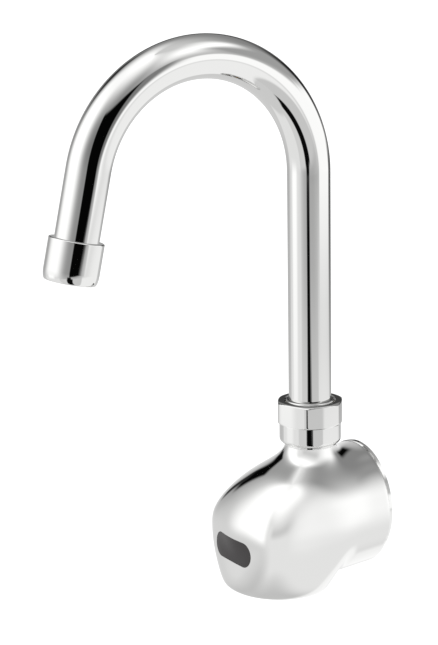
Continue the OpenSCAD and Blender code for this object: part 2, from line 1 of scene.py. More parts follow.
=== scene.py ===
# %% [markdown]
# A wall-mounted sensor faucet, dressed for its portrait.
# The real object is a polished chrome casting with a dark sensor window, a
# hexagonal coupling nut and a gooseneck tube that swivels. Chrome has almost
# no colour of its own: what the eye sees is the room around it. So half of the
# work is the form, which bends the room's image, and half is the room.

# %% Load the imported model
import json
import math

import bmesh
import bpy
import numpy as np
from mathutils import Matrix, Vector

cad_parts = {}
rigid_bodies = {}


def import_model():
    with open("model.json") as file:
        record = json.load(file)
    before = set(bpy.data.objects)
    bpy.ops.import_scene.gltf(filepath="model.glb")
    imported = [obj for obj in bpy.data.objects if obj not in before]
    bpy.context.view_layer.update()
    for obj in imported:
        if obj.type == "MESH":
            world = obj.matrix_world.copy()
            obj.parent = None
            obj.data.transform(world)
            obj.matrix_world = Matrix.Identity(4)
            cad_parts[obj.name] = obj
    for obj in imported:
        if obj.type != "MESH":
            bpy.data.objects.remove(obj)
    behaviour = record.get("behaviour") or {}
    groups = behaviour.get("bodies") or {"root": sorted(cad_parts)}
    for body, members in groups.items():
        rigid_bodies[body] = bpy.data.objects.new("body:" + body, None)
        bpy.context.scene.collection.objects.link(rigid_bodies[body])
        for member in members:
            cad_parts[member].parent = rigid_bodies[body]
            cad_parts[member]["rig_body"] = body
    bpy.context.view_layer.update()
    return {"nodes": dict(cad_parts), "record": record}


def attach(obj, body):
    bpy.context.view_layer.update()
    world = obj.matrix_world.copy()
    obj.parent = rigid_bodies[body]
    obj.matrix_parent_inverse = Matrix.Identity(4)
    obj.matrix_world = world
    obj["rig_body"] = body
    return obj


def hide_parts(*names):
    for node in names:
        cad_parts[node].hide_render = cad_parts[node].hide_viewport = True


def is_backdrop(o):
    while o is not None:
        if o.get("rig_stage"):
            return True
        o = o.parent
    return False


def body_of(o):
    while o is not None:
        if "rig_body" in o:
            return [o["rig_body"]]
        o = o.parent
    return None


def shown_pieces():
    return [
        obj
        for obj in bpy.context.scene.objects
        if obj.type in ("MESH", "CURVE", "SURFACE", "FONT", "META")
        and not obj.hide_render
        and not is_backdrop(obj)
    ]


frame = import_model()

scene = bpy.context.scene
MM = 0.001
print("CAD nodes:", len(frame["nodes"]))

# %% [markdown]
# The camera comes first, because every later look is judged through it. Its
# place was solved from the outlines of the tube, the nut and the flange. It
# stands a metre away, to the right of the faucet, and looks a little down.
# Blender's lens length is for a sensor whose long side is 36 mm.

# %% Camera
PICTURE_HIGH = 645
FOCAL_PIXELS = 2305.745
SENSOR = 36.0
CAMERA_AT = Vector((0.838462, -0.563345, 0.328816))
CAMERA_BACK = Vector((0.83872676, -0.49043312, 0.23667019)).normalized()
CAMERA_TURN = math.radians(59.684)
CAMERA_ROLL = math.radians(-0.881)


def make_camera():
    data = bpy.data.cameras.new("portrait_camera")
    data.sensor_width = SENSOR
    data.lens = FOCAL_PIXELS / PICTURE_HIGH * SENSOR
    data.clip_start, data.clip_end = 0.05, 100
    camera = bpy.data.objects.new("portrait_camera", data)
    level = Vector((math.cos(CAMERA_TURN), math.sin(CAMERA_TURN), 0))
    upright = CAMERA_BACK.cross(level)
    right = math.cos(CAMERA_ROLL) * level + math.sin(CAMERA_ROLL) * upright
    up = -math.sin(CAMERA_ROLL) * level + math.cos(CAMERA_ROLL) * upright
    turn = Matrix((right, up, CAMERA_BACK)).transposed()
    camera.matrix_world = Matrix.Translation(CAMERA_AT) @ turn.to_4x4()
    scene.collection.objects.link(camera)
    scene.camera = camera
    return camera


camera = make_camera()
print("lens", round(camera.data.lens, 2), "mm")

# %% [markdown]
# Small helpers. Colours are written as sRGB hex values, as a designer would,
# and one function turns them to the linear values that a shader wants. One
# function adds a node. Meshes are written in millimetres in the object's own
# frame, and come out in metres with their object at the origin.

# %% Helpers for colours, nodes and meshes


def straight(c):
    """One sRGB value from 0 to 1 as linear light."""
    return c / 12.92 if c <= 0.04045 else ((c + 0.055) / 1.055) ** 2.4


def linear(code):
    """A hex colour such as "#DDE0E2" as linear red, green, blue and alpha."""
    return (*[straight(int(code[i:i + 2], 16) / 255) for i in (1, 3, 5)], 1.0)


def add(tree, kind, settings=None, **inputs):
    """A new node, with its settings, its input values and its links."""
    node = tree.nodes.new(kind)
    for name, value in (settings or {}).items():
        setattr(node, name, value)
    for name, value in inputs.items():
        key = int(name[1:]) if name[0] == "_" else name.replace("_", " ")
        if isinstance(value, bpy.types.NodeSocket):
            tree.links.new(value, node.inputs[key])
        else:
            node.inputs[key].default_value = value
    return node


def mesh_piece(name, points, faces, smooth=True):
    """A mesh object from points in millimetres."""
    mesh = bpy.data.meshes.new(name)
    mesh.from_pydata([tuple(float(c) * MM for c in p) for p in points], [], faces)
    mesh.validate()
    mesh.update()
    if smooth:
        mesh.shade_smooth()
    piece = bpy.data.objects.new(name, mesh)
    scene.collection.objects.link(piece)
    return piece


def creased(piece, degrees=30):
    """Smooth shading, with a crisp line where faces meet at more than that."""
    piece.data.shade_smooth()
    piece.data.set_sharp_from_angle(angle=math.radians(degrees))
    return piece


def baked(piece):
    """The piece with its modifiers made part of its mesh."""
    bpy.context.view_layer.update()
    graph = bpy.context.evaluated_depsgraph_get()
    mesh = bpy.data.meshes.new_from_object(piece.evaluated_get(graph))
    piece.modifiers.clear()
    piece.data = mesh
    return piece


def dress(piece, material, body, slot, *nodes):
    """Gives a piece its material, the body it rides on and the nodes it replaces."""
    piece.data.materials.clear()
    piece.data.materials.append(material)
    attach(piece, body)
    if nodes:
        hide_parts(*nodes)
    print(f"{piece.name}: {len(piece.data.polygons)} faces on {body}")
    return piece


# %% [markdown]
# The room. Polished metal is photographed in a light tent: white cloth all
# round, with a dark opening for the lens, and here and there a dark card that
# draws a crisp line along the tube. The tent is a large sphere that only
# mirrors see. Each cloth or card is a patch of it, given by its compass
# direction (0 is straight in front of the faucet, 90 is to its right) and its
# height above the horizon, in degrees. A photographer sets such cards one
# after the other, and so were these: each name says what its card is for.
# The casting was lit more softly than the tube, so each has a tent of its own,
# by light linking.

# %% The tent's cloths and cards
CHROME_SHINE = 0.72  # the share of the light that chromium mirrors


def grey(level):
    """The light that makes chrome show this 0 to 255 grey."""
    return straight(level / 255) / CHROME_SHINE


def ramp(x, soft):
    """A gentle rise from 0 to 1 over this many degrees, half way up at zero."""
    t = np.clip(x / soft + 0.5, 0, 1)
    return t * t * (3 - 2 * t)


def patch(turn, rise, card):
    """How much of each direction a card covers. Its top and its far side may lean."""
    left, right, low, high, soft = card[:5]
    lean_top, lean_side = card[6:8] if len(card) > 6 else (0, 0)
    middle = (left + right) / 2
    across = (turn - middle + 180) % 360 - 180
    half = (right - left) / 2
    top = high + lean_top * np.clip(across + half, 0, 2 * half)
    side = half + lean_side * np.clip(high - rise, 0, high - low)
    return (ramp(across + half, soft) * ramp(side - across, soft)
            * ramp(rise - low, soft) * ramp(top - rise, soft))


# Each card is left, right, low, high, softness and grey level, and then the lean of
# its top and of its right side where it has one. A later card lies over an earlier one.
SPOUT_TENT = {
    "dim cloth behind on the left": (-190, -60, -10, 60, 50, 130),
    "white cloth in front": (-60, 20, -5, 60, 40, 265),
    "dim cloth round the black panel": (20, 105, -10, 45, 60, 120),
    "roof": (-110, 100, 60, 130, 60, 265),
    "high window on the right": (105, 165, 30, 60, 30, 265),
    "grey cloth behind on the right": (125, 190, 15, 40, 15, 155),
    "white strip on the right": (115, 195, -12, 12, 6, 250),
    "black flag behind": (-165, -138, 0, 25, 20, 5),
    "dark flag on the left": (-100, -75, 18, 40, 15, 40),
    "white strip behind": (-200, -168, -5, 15, 8, 250),
    "table behind on the right": (105, 195, -90, -14, 10, 235),
    "table on the right": (65, 105, -60, -14, 5, 195),
    "table on the left": (-60, 15, -60, -12, 8, 222),
    "bright front edge of the table": (-40, -10, -16, -2, 15, 255),
    "table in front": (15, 45, -60, -14, 5, 204),
    "line along the tube's edge": (-175, -125, -14, -4, 8, 90),
    "grey rim of the black panel": (98, 112, -8, 22, 6, 120),
    "black panel": (54, 101, -8, 33, 4, 5, -0.3, 0),
    "stripe down the tube": (46, 60, -60, -8, 5, 8, 0, 0.3),
    "stripe down the collar": (44, 68, -60, -15, 4, 8),
    "dark card over the nut": (-134, -106, 4, 22, 5, 60),
}
BODY_TENT = {
    "far floor": (-360, 360, -130, -60, 30, 190),
    "floor on the left": (-140, 10, -75, -20, 60, 190),
    "bright floor behind": (-185, -130, -60, -30, 20, 240),
    "white cloth on the right": (115, 190, -15, 40, 40, 255),
    "dim patch round the camera": (30, 100, 15, 40, 25, 200),
    "roof": (-60, 140, 60, 130, 30, 265),
    "dim top behind on the right": (125, 200, 40, 80, 40, 145),
    "dim cloth behind": (-195, -122, 5, 70, 30, 130),
    "dim cloth on the left": (-110, -65, -5, 90, 45, 150),
    "white cloth in front": (-50, 0, -5, 70, 30, 270),
    "black flag on the left": (-100, -80, 14, 43, 7, 5),
    "foot of the black flag": (-97, -88, 2, 20, 6, 40),
    "black flag behind": (-172, -133, 12, 36, 14, 5),
    "middle of the roof": (-360, 360, 85, 130, 20, 240),
}
print("cards of the spout's tent:", len(SPOUT_TENT), "and of the body's:", len(BODY_TENT))

# %% The tents as spheres
SPOUT_TENT_GREY, BODY_TENT_GREY = 200, 225
SPOUT_TENT_RADIUS, BODY_TENT_RADIUS = 20.0, 22.0


def lit(turn, rise, cards, ground):
    """The light from each direction, with the cards laid over the bare cloth."""
    light = np.full(rise.shape, grey(ground))
    for card in cards.values():
        cover = patch(turn, rise, card)
        light = light * (1 - cover) + grey(card[5]) * cover
    return light


def cloth_material(name):
    """Cloth that glows as its light attribute says, and that rays pass through."""
    cloth = bpy.data.materials.new(name)
    cloth.use_nodes = True
    tree = cloth.node_tree
    tree.nodes.clear()
    read = add(tree, "ShaderNodeAttribute", {"attribute_name": "light"})
    glow = add(tree, "ShaderNodeEmission", Strength=read.outputs["Fac"])
    clear = add(tree, "ShaderNodeBsdfTransparent")
    both = add(tree, "ShaderNodeAddShader", _0=glow.outputs[0], _1=clear.outputs[0])
    add(tree, "ShaderNodeOutputMaterial", Surface=both.outputs[0])
    cloth.cycles.emission_sampling = "NONE"
    return cloth


def make_tent(name, cards, ground, radius, receivers):
    rise, turn = np.meshgrid(np.arange(-90, 91, 1.0), np.arange(-180, 180, 1.0),
                             indexing="ij")
    e, a = np.radians(rise), np.radians(turn)
    way = np.stack([np.cos(e) * np.sin(a), -np.cos(e) * np.cos(a), np.sin(e)], -1)
    high, wide = rise.shape
    faces = [(i * wide + j, i * wide + (j + 1) % wide,
              (i + 1) * wide + (j + 1) % wide, (i + 1) * wide + j)
             for i in range(high - 1) for j in range(wide)]
    tent = mesh_piece(name, way.reshape(-1, 3) * radius / MM, faces)
    shine = tent.data.attributes.new("light", "FLOAT", "POINT")
    light = lit(turn, rise, cards, ground)
    shine.data.foreach_set("value", light.ravel().astype(np.float32))
    tent.data.materials.append(cloth_material(name + "_cloth"))
    for ray in ("camera", "diffuse", "transmission", "volume_scatter", "shadow"):
        setattr(tent, "visible_" + ray, False)
    tent.light_linking.receiver_collection = receivers
    tent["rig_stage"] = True
    print(name, "radius", radius, "m, darkest light", round(float(light.min()), 4))


tube_side = bpy.data.collections.new("lit_by_spout_tent")
body_side = bpy.data.collections.new("lit_by_body_tent")
make_tent("spout_tent", SPOUT_TENT, SPOUT_TENT_GREY, SPOUT_TENT_RADIUS, tube_side)
make_tent("body_tent", BODY_TENT, BODY_TENT_GREY, BODY_TENT_RADIUS, body_side)

# %% [markdown]
# The sky and the floor. The photograph's ground is pure white. A white sky,
# which the mirrors don't see, lights a pale floor well below the faucet.

# %% Sky and floor
SKY = 1.3
FLOOR_Z = -0.25
FLOOR_HALF = 6.0


def make_sky():
    sky = bpy.data.worlds.new("white_sky")
    sky.use_nodes = True
    sky.node_tree.nodes["Background"].inputs["Color"].default_value = (1, 1, 1, 1)
    sky.node_tree.nodes["Background"].inputs["Strength"].default_value = SKY
    sky.cycles_visibility.glossy = False
    scene.world = sky


def make_floor():
    h = FLOOR_HALF / MM
    z = FLOOR_Z / MM
    floor = mesh_piece("pale_floor", [(-h, -h, z), (h, -h, z), (h, h, z), (-h, h, z)],
                       [(0, 1, 2, 3)], smooth=False)
    paint = bpy.data.materials.new("pale_matt_paint")
    paint.use_nodes = True
    shader = paint.node_tree.nodes["Principled BSDF"]
    shader.inputs["Base Color"].default_value = linear("#F6F6F6")
    shader.inputs["Roughness"].default_value = 1.0
    shader.inputs["Specular IOR Level"].default_value = 0.0
    floor.data.materials.append(paint)
    floor.visible_glossy = False
    floor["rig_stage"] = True


make_sky()
make_floor()
scene.view_settings.view_transform = "Standard"
scene.view_settings.look = "None"
print("floor at", FLOOR_Z, "m, sky strength", SKY)

# %% [markdown]
# Finishes. The body, the spout and their rings are brass, plated with nickel
# and chromium and polished: a mirror with hardly any tint. Up close such a mirror
# is never perfect. The polishing wheel leaves hairlines a tenth of a
# millimetre wide, too fine to show here, so they are drawn about a millimetre
# apart. A casting also keeps slow waves of several millimetres, which make
# its reflections wander.

# %% Metals


def new_material(name):
    material = bpy.data.materials.new(name)
    material.use_nodes = True
    tree = material.node_tree
    return material, tree, tree.nodes["Principled BSDF"]


def object_place(tree, stretch=(1, 1, 1)):
    place = add(tree, "ShaderNodeTexCoord").outputs["Object"]
    return add(tree, "ShaderNodeMapping", Vector=place, Scale=stretch).outputs[0]


def noise(tree, place, size_mm, detail=2.0):
    """Soft noise whose blots are about this many millimetres across."""
    return add(tree, "ShaderNodeTexNoise", Vector=place, Scale=1 / (size_mm * MM),
               Detail=detail, Roughness=0.5).outputs["Fac"]


def between(tree, value, low, high, start=0.3, end=0.7):
    return add(tree, "ShaderNodeMapRange", Value=value, From_Min=start, From_Max=end,
               To_Min=low, To_Max=high).outputs[0]


def metal(name, code, smooth, rough, wave_mm, wave_height, grain_mm, grain_height,
          stretch=(1, 1, 1)):
    """A bare or plated metal with uneven gloss, slow waves and a fine grain."""
    material, tree, shader = new_material(name)
    shader.inputs["Base Color"].default_value = linear(code)
    shader.inputs["Metallic"].default_value = 1.0
    place = object_place(tree, stretch)
    smear = noise(tree, place, wave_mm * 1.7, 3.0)
    tree.links.new(between(tree, smear, smooth, rough), shader.inputs["Roughness"])
    slow = add(tree, "ShaderNodeBump", Height=noise(tree, place, wave_mm, 1.0),
               Distance=wave_height * MM, Strength=1.0)
    fine = add(tree, "ShaderNodeBump", Height=noise(tree, place, grain_mm, 3.0),
               Distance=grain_height * MM, Strength=1.0, Normal=slow.outputs[0])
    tree.links.new(fine.outputs[0], shader.inputs["Normal"])
    return material


# Chromium over drawn tube: straight, so almost no waves
tube_chrome = metal("polished_chrome_on_drawn_brass", "#DDDDDC", 0.015, 0.035,
                    22, 0.01, 1.2, 0.0006)
# Chromium over a polished casting: slow waves from the wheel
cast_chrome = metal("polished_chrome_on_cast_brass", "#DDDDDC", 0.03, 0.06,
                    11, 0.02, 1.4, 0.0012)
# Chromium over turned rings: faint slow waves and a fine grain
turned_chrome = metal("polished_chrome_on_turned_brass", "#DDDDDC", 0.02, 0.045,
                      16, 0.006, 1.1, 0.0008)

# %% Metals out of sight, plastics and rubber


def moulded(name, code, rough, grain_mm, grain_height, gloss=0.5):
    """A moulded plastic or rubber with a fine grain and a slightly uneven tint."""
    material, tree, shader = new_material(name)
    place = object_place(tree)
    tint = add(tree, "ShaderNodeMixRGB", Fac=noise(tree, place, grain_mm * 6),
               Color1=linear(code), Color2=[c * 1.25 for c in linear(code)[:3]] + [1])
    tree.links.new(tint.outputs[0], shader.inputs["Base Color"])
    tree.links.new(between(tree, noise(tree, place, grain_mm * 3), rough * 0.85,
                           min(1, rough * 1.15)), shader.inputs["Roughness"])
    shader.inputs["Specular IOR Level"].default_value = gloss
    fine = add(tree, "ShaderNodeBump", Height=noise(tree, place, grain_mm, 3.0),
               Distance=grain_height * MM, Strength=1.0)
    tree.links.new(fine.outputs[0], shader.inputs["Normal"])
    return material


steel = metal("brushed_stainless_steel", "#B9BABC", 0.22, 0.34, 9, 0.004, 0.5, 0.004,
              (1, 1, 6))
brass = metal("turned_brass", "#C9A45A", 0.2, 0.36, 8, 0.01, 0.5, 0.006)
window_plastic = moulded("smoked_acrylic", "#1C1819", 0.12, 3.0, 0.0006, 0.4)
black_rubber = moulded("moulded_nitrile_rubber", "#141414", 0.55, 0.25, 0.01, 0.35)
foam = moulded("closed_cell_foam", "#2A2A2C", 0.9, 0.5, 0.12, 0.2)
fibre = moulded("pressed_red_fibre", "#7A2A1E", 0.75, 0.4, 0.02, 0.3)
white_plastic = moulded("acetal_white", "#E4E1D8", 0.38, 0.4, 0.006)
blue_plastic = moulded("acetal_blue", "#2F55A8", 0.38, 0.4, 0.006)
black_plastic = moulded("black_abs", "#1B1B1C", 0.5, 0.3, 0.012)
board_green = moulded("green_solder_mask", "#1F6B3A", 0.35, 0.8, 0.01)
lamp_clear = moulded("clear_epoxy_lamp", "#A9A9C4", 0.08, 2.0, 0.001)
lamp_dark = moulded("dark_epoxy_receiver", "#17161C", 0.1, 2.0, 0.001)

SLOT_FINISH = {
    "chrome": turned_chrome, "foam": foam, "steel": steel, "black_rubber": black_rubber,
    "brass": brass, "fibre": fibre, "white_plastic": white_plastic,
    "blue_plastic": blue_plastic, "window_plastic": window_plastic,
    "black_plastic": black_plastic, "board": board_green, "lamp_clear": lamp_clear,
    "lamp_dark": lamp_dark,
}
node_slot = {s["node"]: s["material_slot"] for s in frame["record"]["subparts"]}
for node, solid in frame["nodes"].items():
    solid.data.materials.clear()
    solid.data.materials.append(SLOT_FINISH[node_slot[node]])
print("finishes:", len(SLOT_FINISH))

# %% [markdown]
# The cast body. Its form is a soft meeting of three plain forms: a rounded
# head that stands forward, a round barrel that runs back to the wall, and a
# short neck. Each is a distance in millimetres, below zero inside, and they
# are joined with a smooth minimum, which leaves the fillets that a pattern
# maker would rub in. Rays from the middle find the skin, so the mesh can be
# as fine as a mirror needs. The faceted CAD skin has nearly the same form.

# %% Sizes of the body, in millimetres
HALF_W, HALF_D, HEAD_Y, HEAD_Z, CROWN = 28.95, 26.35, -41.3, -6.7, 27.1
FOOT_Z, FOOT_SLOPE, FOOT_BLEND = 34.6, 0.06, 7.4
SIDE_TAPER, FRONT_TAPER, FRONT_LEAN, CROWN_BACK = 0.2, 0.06, 5.3, 4.1
PLAN_SQUARE, SHOULDER_SQUARE, FOOT_SQUARE = 4.5, 1.6, 2.1
CROWN_SQUARE, CROWN_SOFT, EDGE_SOFT, TOP_SOFT = 1.74, 4.6, 3.0, 0.15
LEAN_REF, LEAN_START, RISE_REF = 25.0, 0.3, 34.6
BARREL_R, BARREL_DROP, BARREL_FALL, BARREL_NOSE = 27.7, 1.4, 0.1, 50.0
BARREL_BLEND, SIDE_BLEND, SIDE_Z, SIDE_SPAN = 2.0, 6.3, 2.0, 22.0
TOP_BLEND, TOP_START = 10.6, 24.0
BACK_Y, BACK_BLEND, NOSE_Y = -1.2, 1.2, -16.5
NECK_R, NECK_Y, NECK_TOP, NECK_BLEND = 10.1, -26.5, 30.2, 10.6
WALL, FLANGE_T = 3.0, 2.0
CORE = np.array([0.0, -30.0, HEAD_Z - 0.4])


def smin(a, b, k):
    """A smooth least, as deep as a fillet of size k, that starts and ends gently."""
    wide = 1.5 * k
    share = np.maximum(0, 1 - np.abs(a - b) / wide)
    return np.minimum(a, b) - wide * share ** 3 / 6


def smax(a, b, k):
    return -smin(-a, -b, k)


def gentle(t):
    """A share from 0 to 1 that starts and ends gently."""
    w = np.clip(t, 0, 1)
    return w * w * (3 - 2 * w)


def lean(z):
    w = np.maximum(0, (HEAD_Z - z) / LEAN_REF)
    return np.sqrt(w * w + LEAN_START ** 2) - LEAN_START


def plan_at(z):
    """The head's half width, half depth, middle and squareness at one height."""
    s = lean(z)
    rise = gentle((z - HEAD_Z) / RISE_REF)
    t = np.minimum(1, s * 4 / 3)
    square = (PLAN_SQUARE + (FOOT_SQUARE - PLAN_SQUARE) * t * (1 + t * (1 - t))
              + (SHOULDER_SQUARE - PLAN_SQUARE) * rise)
    middle = HEAD_Y - FRONT_LEAN * s + CROWN_BACK * rise
    return HALF_W * (1 - SIDE_TAPER * s), HALF_D * (1 - FRONT_TAPER * s), middle, square


def across(d, size, n):
    return ((d * d + EDGE_SOFT ** 2) / (size * size)) ** (n / 2)


def front_at(z):
    half_w, half_d, middle, n = plan_at(z)
    reach = half_d * (1 - across(0, half_w, n)) ** (1 / n)
    return middle - np.sqrt(reach ** 2 - EDGE_SOFT ** 2)


def skin(p):
    x, y, z = p[..., 0], p[..., 1], p[..., 2]
    half_w, half_d, middle, n = plan_at(z)
    plan = (across(x, half_w, n) + across(y - middle, half_d, n)) ** (1 / n)
    plan = np.hypot(plan, TOP_SOFT * (1 - plan))
    up = np.maximum(0, z - HEAD_Z)
    up = (np.sqrt(up * up + CROWN_SOFT ** 2) - CROWN_SOFT) / CROWN
    head = ((plan ** CROWN_SQUARE + up ** CROWN_SQUARE) ** (1 / CROWN_SQUARE) - 1)
    head = head * (HALF_W + HALF_D) / 2
    head = smax(head, -(z + FOOT_Z) - FOOT_SLOPE * (y - HEAD_Y), FOOT_BLEND)
    dz = z + BARREL_DROP - BARREL_FALL * (y + FLANGE_T)
    dy = np.minimum(0, y - NOSE_Y) * BARREL_R / BARREL_NOSE
    barrel = np.sqrt(x * x + dy * dy + dz * dz) - BARREL_R
    barrel = smax(barrel, y - BACK_Y, BACK_BLEND)
    neck = np.maximum(np.hypot(x, y - NECK_Y) - NECK_R, -z)
    side = np.maximum(0, 1 - ((z - SIDE_Z) / SIDE_SPAN) ** 2) ** 2
    blend = (BARREL_BLEND + (SIDE_BLEND - BARREL_BLEND) * side
             + TOP_BLEND * gentle(z / TOP_START))
    return smin(smin(head, barrel, blend), neck, NECK_BLEND)


print("front face at the head's middle:", round(float(front_at(HEAD_Z)), 2), "mm")

# %% The skin as a mesh


def star(name, inset, top, back, rings, around):
    """A closed mesh of the skin, drawn in by inset, found along rays from the core."""
    rise = np.radians(np.linspace(-90, 90, rings + 1)[1:-1])
    turn = np.linspace(0, 2 * np.pi, around, endpoint=False)
    f, t = np.meshgrid(rise, turn, indexing="ij")
    ways = np.stack([np.cos(f) * np.cos(t), np.cos(f) * np.sin(t), np.sin(f)], -1)
    ways = np.concatenate([ways.reshape(-1, 3), [[0, 0, -1], [0, 0, 1]]])
    low, high = np.zeros(len(ways)), np.full(len(ways), 80.0)
    for _ in range(30):
        mid = (low + high) / 2
        inside = skin(CORE + ways * mid[:, None]) + inset < 0
        low, high = np.where(inside, mid, low), np.where(inside, high, mid)
    far = low
    for axis, limit in ((2, top), (1, back)):
        steep = ways[:, axis] > 0.001
        reach = np.where(steep, (limit - CORE[axis]) / np.where(steep, ways[:, axis], 1), 999)
        far = np.minimum(far, reach)
    points = CORE + ways * far[:, None]
    n = (rings - 1) * around
    faces = [(n, (j + 1) % around, j) for j in range(around)]
    for i in range(rings - 2):
        for j in range(around):
            a, b = i * around + j, i * around + (j + 1) % around
            faces.append((a, b, b + around, a + around))
    last = (rings - 2) * around
    faces += [(n + 1, last + j, last + (j + 1) % around) for j in range(around)]
    return mesh_piece(name, points, faces)


def closed_outward(piece):
    """Points the faces of a closed mesh outwards."""
    work = bmesh.new()
    work.from_mesh(piece.data)
    bmesh.ops.recalc_face_normals(work, faces=work.faces)
    work.to_mesh(piece.data)
    work.free()
    return piece


def box_cutter(name, low, high):
    x, y, z = zip(low, high)
    points = [(x[i], y[j], z[k]) for i in (0, 1) for j in (0, 1) for k in (0, 1)]
    faces = [(0, 1, 3, 2), (4, 6, 7, 5), (0, 4, 5, 1), (2, 3, 7, 6), (0, 2, 6, 4), (1, 5, 7, 3)]
    return closed_outward(mesh_piece(name, points, faces, smooth=False))


def prism(name, outline, start, end, lift):
    """A closed bar between two levels of an outline, placed by lift(u, v, level)."""
    n = len(outline)
    points = [lift(u, v, start) for u, v in outline] + [lift(u, v, end) for u, v in outline]
    faces = [tuple(range(n)), tuple(range(2 * n - 1, n - 1, -1))]
    faces += [(i, i + n, (i + 1) % n + n, (i + 1) % n) for i in range(n)]
    return closed_outward(mesh_piece(name, points, faces, smooth=False))


def circle(radius, steps=128, at=(0, 0)):
    return [(at[0] + radius * math.cos(2 * math.pi * i / steps),
             at[1] + radius * math.sin(2 * math.pi * i / steps)) for i in range(steps)]


def pill_outline(wide, high, steps=32):
    r, c = high / 2, (wide - high) / 2
    right = [(c + r * math.cos(a), r * math.sin(a))
             for a in np.linspace(-math.pi / 2, math.pi / 2, steps)]
    return right + [(-u, -v) for u, v in right]


def cut(piece, cutters, operation="DIFFERENCE"):
    for cutter in cutters:
        tool = piece.modifiers.new(cutter.name, "BOOLEAN")
        tool.operation, tool.object, tool.solver = operation, cutter, "MANIFOLD"
        baked(piece)
        bpy.data.objects.remove(cutter)
    return piece


WINDOW_W, WINDOW_H, WINDOW_Z = 29.4, 11.2, -12.5
FRONT_Y = float(front_at(WINDOW_Z))
SEAT_Y = FRONT_Y + 2.7
HOUSING_W, HOUSING_H = WINDOW_W + 4, WINDOW_H + 4.8
SPIGOT_R, SPIGOT_END = 21.1, -14.0
CLAMP_Z, BOSS_R, NECK_HOLE_R = 20.0, 12.1, 9.9
SET_SCREW_Y = -7.8


def on_y(u, v, level):
    return (u, level, v)


def at_window(u, v, level):
    return (u, level, v + WINDOW_Z)


def on_neck(u, v, level):
    return (u, v + NECK_Y, level)


def make_body():
    body = closed_outward(star("cast_body", 0, NECK_TOP + 8, 1.0, 210, 320))
    cut(body, [box_cutter("neck_cut", (-60, -120, NECK_TOP), (60, 60, 80)),
               box_cutter("wall_cut", (-60, -FLANGE_T, -80), (60, 40, 80)),
               closed_outward(star("hollow", WALL, CLAMP_Z, SPIGOT_END - 0.4, 60, 90)),
               prism("boss_room", circle(BOSS_R), -5, CLAMP_Z + 0.01, on_neck),
               prism("neck_hole", circle(NECK_HOLE_R), CLAMP_Z - 1, NECK_TOP + 2, on_neck),
               prism("spigot_bore", circle(SPIGOT_R), SPIGOT_END - 3, 1, on_y),
               prism("window_hole", pill_outline(WINDOW_W, WINDOW_H),
                     FRONT_Y - 8, SEAT_Y + 4, at_window),
               prism("window_seat", pill_outline(HOUSING_W + 0.6, HOUSING_H + 0.6),
                     SEAT_Y, SEAT_Y + 8, at_window),
               prism("set_screw_hole", circle(2.05, 48, (0, SET_SCREW_Y)),
                     -FOOT_Z - 4, -10, lambda u, v, level: (u, v, level))])
    return creased(body, 34)


dress(make_body(), cast_chrome, "fixed", "chrome", "body_shell")

# %% [markdown]
# Turned pieces. Collar, washer, ferrule, sleeve and flange were all turned on
# a lathe, so each is a closed outline spun round an axis. No turned edge is
# truly sharp: the tool leaves a radius of some tenths of a millimetre, and
# this radius is what catches the light as a thin bright line.

# %% Lathe
GUARD = 0.05  # a ring this close to each rounding keeps the straight beside it straight


def softened(outline, steps=5):
    """An outline of (radius, level, corner radius) with its corners rounded."""
    n = len(outline)
    soft = []
    for i in range(n):
        at = np.array(outline[i][:2], float)
        r = outline[i][2] if len(outline[i]) > 2 else 0
        if r <= 0:
            soft.append(tuple(at))
            continue
        to_a = np.array(outline[i - 1][:2], float) - at
        to_b = np.array(outline[(i + 1) % n][:2], float) - at
        la, lb = np.linalg.norm(to_a), np.linalg.norm(to_b)
        to_a, to_b = to_a / la, to_b / lb
        half = math.acos(float(np.clip(to_a @ to_b, -1, 1))) / 2
        back = min(r / math.tan(half), la * 0.49, lb * 0.49)
        r = back * math.tan(half)
        centre = at + (to_a + to_b) / np.linalg.norm(to_a + to_b) * r / math.sin(half)
        p, q = at + to_a * back - centre, at + to_b * back - centre
        if la - back > 4 * GUARD:
            soft.append(tuple(at + to_a * (back + GUARD)))
        angle = math.acos(float(np.clip(p @ q / (r * r), -1, 1)))
        for k in range(steps + 1):
            t = k / steps
            v = (math.sin((1 - t) * angle) * p + math.sin(t * angle) * q) / math.sin(angle)
            soft.append(tuple(centre + v))
        if lb - back > 4 * GUARD:
            soft.append(tuple(at + to_b * (back + GUARD)))
    return soft


def turned(name, outline, place, segments=160):
    """A closed outline spun round its own axis, then put where place says."""
    ring = softened(outline)
    n = len(ring)
    points, faces = [], []
    for s in range(segments):
        a = 2 * math.pi * s / segments
        points += [place @ Vector((r * math.cos(a), r * math.sin(a), z)) for r, z in ring]
        t = (s + 1) % segments
        faces += [(s * n + i, t * n + i, t * n + (i + 1) % n, s * n + (i + 1) % n)
                  for i in range(n)]
    return creased(closed_outward(mesh_piece(name, points, faces)), 40)


NECK_AXIS = Matrix.Translation((0, NECK_Y, 0))
WALL_AXIS = Matrix.Rotation(math.radians(90), 4, "X")
COLLAR_Z, SHOULDER_Z, COLLAR_R, SHANK_R, PASSAGE_R = 31.2, 40.5, 13.8, 9.8, 6.0
LAND_Z, NOSE_R, TAIL_BORE_R, TAIL_FLOOR_Z = 44.7, 12.2, 8.06, 33.75
FLANGE_Z, NUT_Z, NUT_TOP_Z = 45.65, 40.55, 50.45
SHANK_Z = 12.5
TRIM_BORE_R, TRIM_R = 10.0, 11.8

